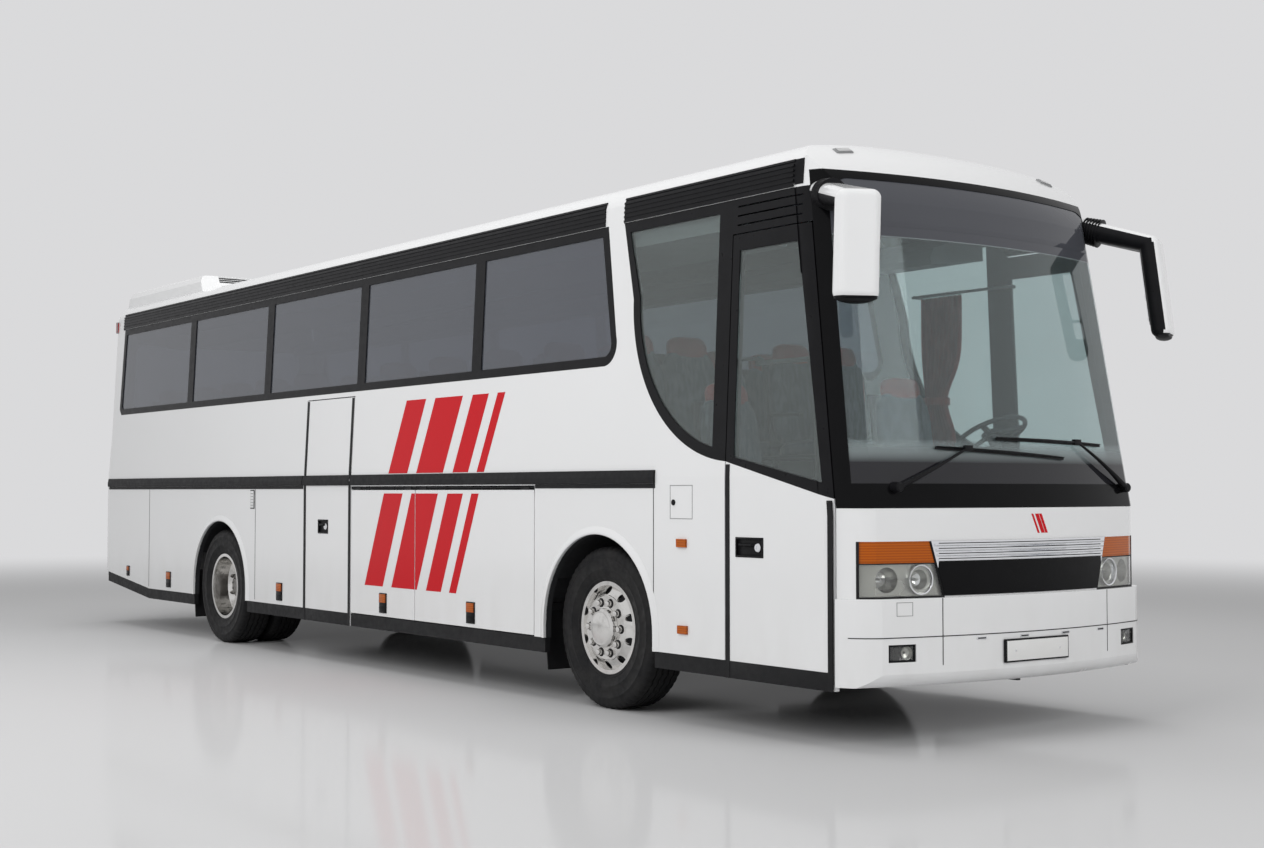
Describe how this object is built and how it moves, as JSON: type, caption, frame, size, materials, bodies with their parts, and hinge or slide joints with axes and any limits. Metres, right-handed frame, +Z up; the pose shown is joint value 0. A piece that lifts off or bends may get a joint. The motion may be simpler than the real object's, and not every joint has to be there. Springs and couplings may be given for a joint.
{
  "type": "coach bus",
  "caption": "High-deck touring coach with raked windscreen, side window band, swing-out doors, luggage flaps, steered front wheels and twin rear wheels.",
  "frame": {"origin": "on the ground below the middle of the coach's length and width", "axes": "+X forward, +Y to the coach's left, +Z up"},
  "size_m": [11.7981, 2.8594, 3.58],
  "materials": {
    "white_paint": "gloss",
    "black_trim": "gloss",
    "black_rubber": "matt",
    "tinted_glass": "smooth",
    "clear_glass": "smooth",
    "bright_metal": "polished",
    "amber_lens": "gloss",
    "red_lens": "gloss",
    "grey_floor": "matt",
    "dark_plastic": "grained",
    "seat_cloth": "woven",
    "dark_steel": "satin",
    "alloy": "polished",
    "tyre": "matt"
  },
  "bodies": {
    "coach": {"right_wall": "white_paint", "left_wall": "white_paint", "roof": "white_paint", "mask": "white_paint", "screen_frame": "black_trim", "windscreen": "clear_glass", "front_bumper": "white_paint", "rear_wall": "white_paint", "rear_glass": "tinted_glass", "rear_bumper": "white_paint", "window_frames": "black_trim", "side_glass": "tinted_glass", "cove_grilles": "black_trim", "side_trim": "black_rubber", "roof_unit": "white_paint", "lamp_housings": "bright_metal", "headlamps": "clear_glass", "amber_lamps": "amber_lens", "grille": "bright_metal", "tail_lamps": "red_lens", "mirrors": "white_paint", "wipers": "black_rubber", "passenger_deck": "grey_floor", "luggage_bay": "grey_floor", "cab_floor": "grey_floor", "axle_rails": "dark_steel", "engine": "dark_steel", "dashboard": "dark_plastic", "seats": "seat_cloth", "parcel_racks": "dark_plastic", "front_axle": "dark_steel", "rear_axle": "dark_steel"},
    "engine_flap": {"engine_flap": "white_paint"},
    "front_door_arm": {"front_door_arm": "dark_steel"},
    "front_door": {"front_door": "white_paint", "front_door_frame": "black_trim", "front_door_glass": "clear_glass"},
    "mid_door_arm": {"mid_door_arm": "dark_steel"},
    "mid_door": {"mid_door": "white_paint"},
    "right_flap_rear": {"right_flap_rear": "white_paint"},
    "right_flap_front": {"right_flap_front": "white_paint"},
    "left_flap_rear": {"left_flap_rear": "white_paint"},
    "left_flap_front": {"left_flap_front": "white_paint"},
    "steering_wheel": {"steering_wheel": "dark_plastic"},
    "right_knuckle": {"right_knuckle": "dark_steel"},
    "left_knuckle": {"left_knuckle": "dark_steel"},
    "front_right_wheel": {"front_right_rim": "alloy", "front_right_tyre": "tyre"},
    "front_left_wheel": {"front_left_rim": "alloy", "front_left_tyre": "tyre"},
    "rear_right_wheels": {"rear_right_rims": "alloy", "rear_right_tyres": "tyre"},
    "rear_left_wheels": {"rear_left_rims": "alloy", "rear_left_tyres": "tyre"}
  },
  "joints": [
    {"name": "steer_left", "type": "hinge", "parent": "coach", "child": "left_knuckle", "pos_m": [3.345, 0.89, 0.522], "axis": [0, 0, 1], "range_deg": [-40, 40]},
    {"name": "steer_right", "type": "hinge", "parent": "coach", "child": "right_knuckle", "pos_m": [3.345, -0.89, 0.522], "axis": [0, 0, 1], "range_deg": [-40, 40]},
    {"name": "front_right_spin", "type": "hinge", "parent": "right_knuckle", "child": "front_right_wheel", "pos_m": [3.345, -1.0425, 0.522], "axis": [0, 1, 0], "continuous": true},
    {"name": "front_left_spin", "type": "hinge", "parent": "left_knuckle", "child": "front_left_wheel", "pos_m": [3.345, 1.0425, 0.522], "axis": [0, 1, 0], "continuous": true},
    {"name": "rear_right_spin", "type": "hinge", "parent": "coach", "child": "rear_right_wheels", "pos_m": [-2.735, -0.9125, 0.522], "axis": [0, 1, 0], "continuous": true},
    {"name": "rear_left_spin", "type": "hinge", "parent": "coach", "child": "rear_left_wheels", "pos_m": [-2.735, 0.9125, 0.522], "axis": [0, 1, 0], "continuous": true},
    {"name": "front_door_swing", "type": "hinge", "parent": "coach", "child": "front_door_arm", "pos_m": [5.285, -1.105, 1.3], "axis": [0, 0, 1], "range_deg": [0, 115]},
    {"name": "front_door_guide", "type": "hinge", "parent": "front_door_arm", "child": "front_door", "pos_m": [4.785, -1.105, 1.3], "axis": [0, 0, 1], "range_deg": [-115, 0]},
    {"name": "mid_door_swing", "type": "hinge", "parent": "coach", "child": "mid_door_arm", "pos_m": [-0.835, -1.105, 1.2], "axis": [0, 0, -1], "range_deg": [0, 115]},
    {"name": "mid_door_guide", "type": "hinge", "parent": "mid_door_arm", "child": "mid_door", "pos_m": [-0.415, -1.105, 1.2], "axis": [0, 0, -1], "range_deg": [-115, 0]},
    {"name": "right_flap_rear_lift", "type": "hinge", "parent": "coach", "child": "right_flap_rear", "pos_m": [1, -1.238, 1.428], "axis": [-1, 0, 0], "range_deg": [0, 95]},
    {"name": "right_flap_front_lift", "type": "hinge", "parent": "coach", "child": "right_flap_front", "pos_m": [1, -1.238, 1.428], "axis": [-1, 0, 0], "range_deg": [0, 95]},
    {"name": "left_flap_rear_lift", "type": "hinge", "parent": "coach", "child": "left_flap_rear", "pos_m": [1, 1.238, 1.428], "axis": [1, 0, 0], "range_deg": [0, 95]},
    {"name": "left_flap_front_lift", "type": "hinge", "parent": "coach", "child": "left_flap_front", "pos_m": [1, 1.238, 1.428], "axis": [1, 0, 0], "range_deg": [0, 95]},
    {"name": "engine_flap_lift", "type": "hinge", "parent": "coach", "child": "engine_flap", "pos_m": [-5.873, 0, 1.538], "axis": [0, 1, 0], "range_deg": [0, 85]},
    {"name": "steering_turn", "type": "hinge", "parent": "coach", "child": "steering_wheel", "pos_m": [5.005, 0.63, 1.76], "axis": [-0.4695, 0, 0.8829], "range_deg": [-720, 720]}
  ],
  "couplings": [
    {"joint": "steer_right", "follows": "steer_left", "ratio": 1},
    {"joint": "steering_turn", "follows": "steer_left", "ratio": 18},
    {"joint": "front_door_guide", "follows": "front_door_swing", "ratio": -1},
    {"joint": "mid_door_guide", "follows": "mid_door_swing", "ratio": -1}
  ]
}
